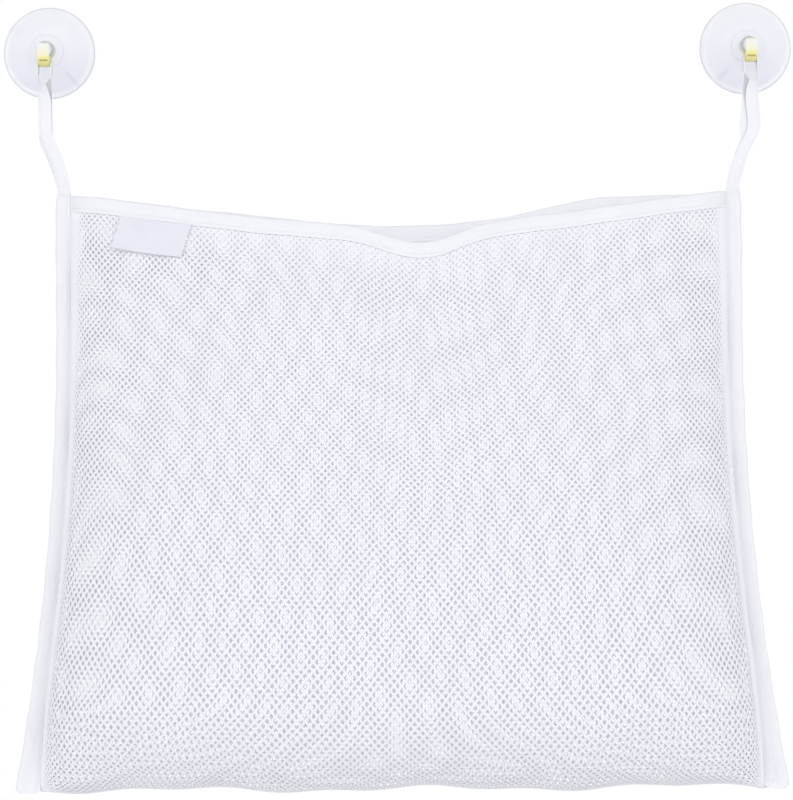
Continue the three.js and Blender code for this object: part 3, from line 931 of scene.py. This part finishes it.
def yarn_finish():
    f = Finish("net_yarn", Sheen_Weight=0.6, Sheen_Roughness=0.5, Specular_IOR_Level=0.35)
    place = f.place()
    cloudy = f.noise(place, 38, 2)
    fibre = f.noise(place, 2600, 2)
    f.set(Base_Color=f.mix(cloudy, rgb(0.86, 0.861, 0.915), rgb(0.915, 0.916, 0.965)),
          Roughness=0.5 + 0.25 * fibre, Normal=f.bump(fibre, 0.12 * MM, 0.6))
    return f.material


def tape_finish():
    f = Finish("woven_tape", Sheen_Weight=0.2, Sheen_Roughness=0.5, Specular_IOR_Level=0.3)
    along, across = f.flat()
    turns = 2 * math.pi / 0.055    # a yarn every 0.55 mm
    warp = (across * turns).sin()
    weft = (along * turns).sin()
    rib = (along * (turns / 2) + across * (turns / 2)).sin().size()
    weave = 0.5 + 0.25 * warp * weft + 0.2 * rib
    worn = f.noise(f.place(), 60, 3)
    shade = 0.6 * worn + 0.4 * weave
    f.set(Base_Color=f.mix(shade, rgb(0.83, 0.834, 0.875), rgb(0.925, 0.93, 0.95)),
          Roughness=0.72 + 0.16 * weave, Normal=f.bump(weave, 0.1 * MM, 0.7))
    return f.material


def thread_finish():
    f = Finish("sewing_thread", Sheen_Weight=0.15, Specular_IOR_Level=0.4)
    along, across = f.flat()
    ply = (along * 180 + across * 320).sin()
    f.set(Base_Color=f.mix(0.5 + 0.5 * ply, rgb(0.80, 0.80, 0.85), rgb(0.93, 0.93, 0.95)),
          Roughness=0.5 + 0.1 * ply, Normal=f.bump(ply, 0.05 * MM, 0.6))
    return f.material


def satin_finish():
    f = Finish("tag_satin", Sheen_Weight=0.3, Sheen_Roughness=0.3, Anisotropic=0.5, Specular_IOR_Level=0.5)
    along, across = f.flat()
    floats = (across * 220 + (along * 70).sin() * 0.6).sin()
    cloudy = f.noise(f.place(), 90, 2)
    f.set(Base_Color=f.mix(cloudy, rgb(0.73, 0.732, 0.805), rgb(0.82, 0.824, 0.885)),
          Roughness=0.36 + 0.08 * floats, Normal=f.bump(floats, 0.03 * MM, 0.5))
    return f.material


def vinyl_finish():
    f = Finish("clear_vinyl", Transmission_Weight=0.72, IOR=1.15, Specular_IOR_Level=0.4)
    place = f.place()
    x, _, z = f.split(place)
    across = x.size() - CUP_SPACING / 2
    radius = (across * across + z * z) ** 0.5
    flow = f.noise(place, 40, 3)
    haze = f.noise(place, 170, 4)
    # Painted shade: the tint is lighter at the top of each cup and darker and bluer towards its bottom, with
    # random cloudiness from the flow noise mixed in.
    deep = 0.5 - z * (0.45 / CUP_RADIUS) + 0.5 * (flow - 0.5)
    tint = f.mix(deep, rgb(0.902, 0.907, 0.938), rgb(0.787, 0.807, 0.878))
    # Painted highlight: a pale ring just inside the rim.
    tint = f.mix(0.6 * radius.near(CUP_RADIUS - 2 * MM, 1.1 * MM), tint, rgb(0.97, 0.972, 0.985))
    # Painted shade: a dark line along the outer edge of the rim, where a clear edge looks dark.
    tint = f.mix(0.7 * radius.rise(CUP_RADIUS - 0.8 * MM, CUP_RADIUS), tint, rgb(0.42, 0.43, 0.5))
    # Painted shade: a dark patch low on the inner side of each cup, where a crease in the vinyl would lie in
    # shade. The cup's shape has no crease there.
    painted_crease_shade = (across + 14 * MM).near(0, 4 * MM) * (across - z).near(2 * MM, 1.6 * MM)
    tint = f.mix(0.3 * painted_crease_shade, tint, rgb(0.5, 0.51, 0.62))
    f.set(Base_Color=tint, Roughness=0.34 + 0.16 * haze, Normal=f.bump(flow, 1.0 * MM, 0.2))
    return f.material


def amber_finish():
    f = Finish("amber_plastic", Transmission_Weight=0.15, IOR=1.3, Specular_IOR_Level=0.4)
    place = f.place()
    x, y, z = f.split(place)
    flow = f.noise(place, 220, 3)
    fine = f.noise(place, 1400, 2)
    bend = -BEND_DROP - 1 * MM
    deep = z.rise(0, bend) * 0.35 + z.rise(bend, -BEND_DROP - 3 * MM) * 0.65
    colour = f.mix(deep + 0.1 * (flow - 0.5), rgb(0.97, 0.965, 0.88), rgb(0.99, 0.92, 0.4))
    inner = (x.size() - CUP_SPACING / 2).size().rise(3 * MM, 2 * MM)
    # Painted shadow: a dark line across the front of the bend, where the strap would cast its shadow, seen
    # through the amber.
    painted_strap_shadow = z.near(-BEND_DROP - 4.6 * MM, 0.5 * MM) * inner * y.rise(-BEND_DEPTH, -BEND_DEPTH - 2 * MM)
    colour = f.mix(0.8 * painted_strap_shadow, colour, rgb(0.36, 0.29, 0.09))
    f.set(Base_Color=colour, Roughness=0.26 + 0.1 * fine, Normal=f.bump(flow, 0.05 * MM, 0.1))
    return f.material


# The object

YARN, WOVEN, THREADS = yarn_finish(), tape_finish(), thread_finish()
SATIN, VINYL, AMBER = satin_finish(), vinyl_finish(), amber_finish()

STRAP_SEAM = STRAP_WIDTH / 2 - 1.3 * MM


def sew(node, length, width, place, seams, **mesh):
    strip, thread = tape_strip(node + "_tape", length, width, place, seams, **mesh)
    dress(strip, WOVEN, "tape", "bag", node)
    dress(thread, THREADS, "tape", "bag")
    return strip


net_pieces = make_net()
for piece in net_pieces:
    dress(piece, YARN, "net", "bag", "net_sheet")

for node, face in (("hem_front", FRONT), ("hem_back", BACK)):
    place, length = hem_place(face)
    width = 2 * (HEM_WIDTH + HEM_TURN)
    strip = sew(node, length, width, place, (HEM_SEAM, -HEM_SEAM))

for node, hand in (("binding_left", LEFT), ("binding_right", RIGHT)):
    width, length = 2 * (BINDING_WIDTH + BINDING_TURN), BAG_HEIGHT + BINDING_TAIL
    strip = sew(node, length, width, binding_place(hand), (BINDING_SEAM, -BINDING_SEAM))

for node, hand in (("strap_left", LEFT), ("strap_right", RIGHT)):
    place, length = strap_place(hand)
    sew(node, length, STRAP_WIDTH, place, (STRAP_SEAM,), rows=10, step=1.5 * MM)

tag = flat_cloth("tag_ribbon", TAG_WIDTH, TAG_HEIGHT, 48, 24)
apply(tag, "SOLIDIFY", thickness=TAG_CLOTH, offset=0)
keep_flat(tag)
hang(tag, tag_place())
smooth_shade(tag, SHARP["tag"])
dress(tag, SATIN, "tag", "label", "tag")

for name, hand in (("left", LEFT), ("right", RIGHT)):
    dress(make_cup(f"cup_{name}_vinyl", hand), VINYL, "vinyl", f"{name}_cup", f"cup_{name}")
    dress(make_hook(f"hook_{name}_amber", hand), AMBER, "amber", "hangers", f"hook_{name}")

front_half = ROWS[FRONT][2] / 2 * CELL[1]
back_half = ROWS[BACK][2] / 2 * CELL[1]
for piece, half in zip(net_pieces, (front_half, front_half, back_half, back_half)):
    NET_WIDTH * half * NET_COVER


# Room, light and camera

FLOOR_Z, FLOOR_RADIUS = -0.62, 0.85
SKY = 0.52                     # strength of the light from all round; the camera sees plain white there


def make_floor():
    deselect()
    bpy.ops.mesh.primitive_circle_add(vertices=96, radius=FLOOR_RADIUS, fill_type="NGON",
                                      location=(0, 0, FLOOR_Z))
    floor = bpy.context.object
    floor.name = "floor"
    f = Finish("floor_paint", Roughness=0.9, Specular_IOR_Level=0.1)
    f.set(Base_Color=f.mix(f.noise(f.place(), 6, 2), rgb(0.9, 0.9, 0.9), rgb(0.92, 0.92, 0.92)))
    floor.data.materials.append(f.material)


def make_world():
    world = bpy.data.worlds.new("studio")
    bpy.context.scene.world = world
    world.use_nodes = True
    nodes, links = world.node_tree.nodes, world.node_tree.links
    nodes.clear()
    path = nodes.new("ShaderNodeLightPath")
    seen = nodes.new("ShaderNodeMath")
    seen.operation = "MAXIMUM"
    links.new(path.outputs["Is Camera Ray"], seen.inputs[0])
    also = nodes.new("ShaderNodeMath")
    also.operation = "MAXIMUM"
    links.new(path.outputs["Is Glossy Ray"], also.inputs[0])
    links.new(path.outputs["Is Transmission Ray"], also.inputs[1])
    links.new(also.outputs[0], seen.inputs[1])
    light = nodes.new("ShaderNodeBackground")
    light.inputs["Color"].default_value = (0.95, 0.97, 1, 1)
    light.inputs["Strength"].default_value = SKY
    white = nodes.new("ShaderNodeBackground")
    white.inputs["Color"].default_value = (1, 1, 1, 1)
    white.inputs["Strength"].default_value = 1
    mix = nodes.new("ShaderNodeMixShader")
    links.new(seen.outputs[0], mix.inputs[0])
    links.new(light.outputs[0], mix.inputs[1])
    links.new(white.outputs[0], mix.inputs[2])
    out = nodes.new("ShaderNodeOutputWorld")
    links.new(mix.outputs[0], out.inputs[0])


def lamp(name, at, aim, size, power):
    data = bpy.data.lights.new(name, "AREA")
    data.shape = "DISK"
    data.size = size
    data.energy = power
    obj = bpy.data.objects.new(name, data)
    bpy.context.scene.collection.objects.link(obj)
    obj.location = at
    obj.visible_transmission = False
    obj.rotation_euler = (Vector(aim) - Vector(at)).to_track_quat("-Z", "Y").to_euler()


IMAGE_WIDTH = 793                            # pixels
EYE = Vector((-2.0, -1600, -212.2)) * MM     # looks straight at the wall
ROLL = math.radians(0.4)                     # of the camera, its top to the right
PIXEL = 0.6 * MM                             # at the side seams
SENSOR = 36


def make_camera():
    data = bpy.data.cameras.new("camera")
    data.sensor_fit = "HORIZONTAL"
    data.sensor_width = SENSOR
    data.lens = SENSOR * (-EYE.y - SEAM_DEPTH) / (IMAGE_WIDTH * PIXEL)
    obj = bpy.data.objects.new("camera", data)
    bpy.context.scene.collection.objects.link(obj)
    obj.location = EYE
    obj.rotation_euler = (math.pi / 2, ROLL, 0)
    bpy.context.scene.camera = obj


make_floor()
make_world()
lamp("key", (-0.8, -1.55, 0.45), (0, 0, -0.27), 1.2, 8.5)
lamp("fill", (0.85, -1.55, 0.4), (0, 0, -0.27), 1.2, 8.5)
lamp("left", (-1.55, -0.75, -0.5), (0, 0, -0.3), 1.0, 3.9)
lamp("right", (1.55, -0.75, -0.5), (0, 0, -0.3), 1.0, 3.9)
lamp("rear", (0, 1.5, 0.5), (0, 0, -0.25), 1.2, 12)
make_camera()
bpy.context.scene.view_settings.view_transform = "Standard"
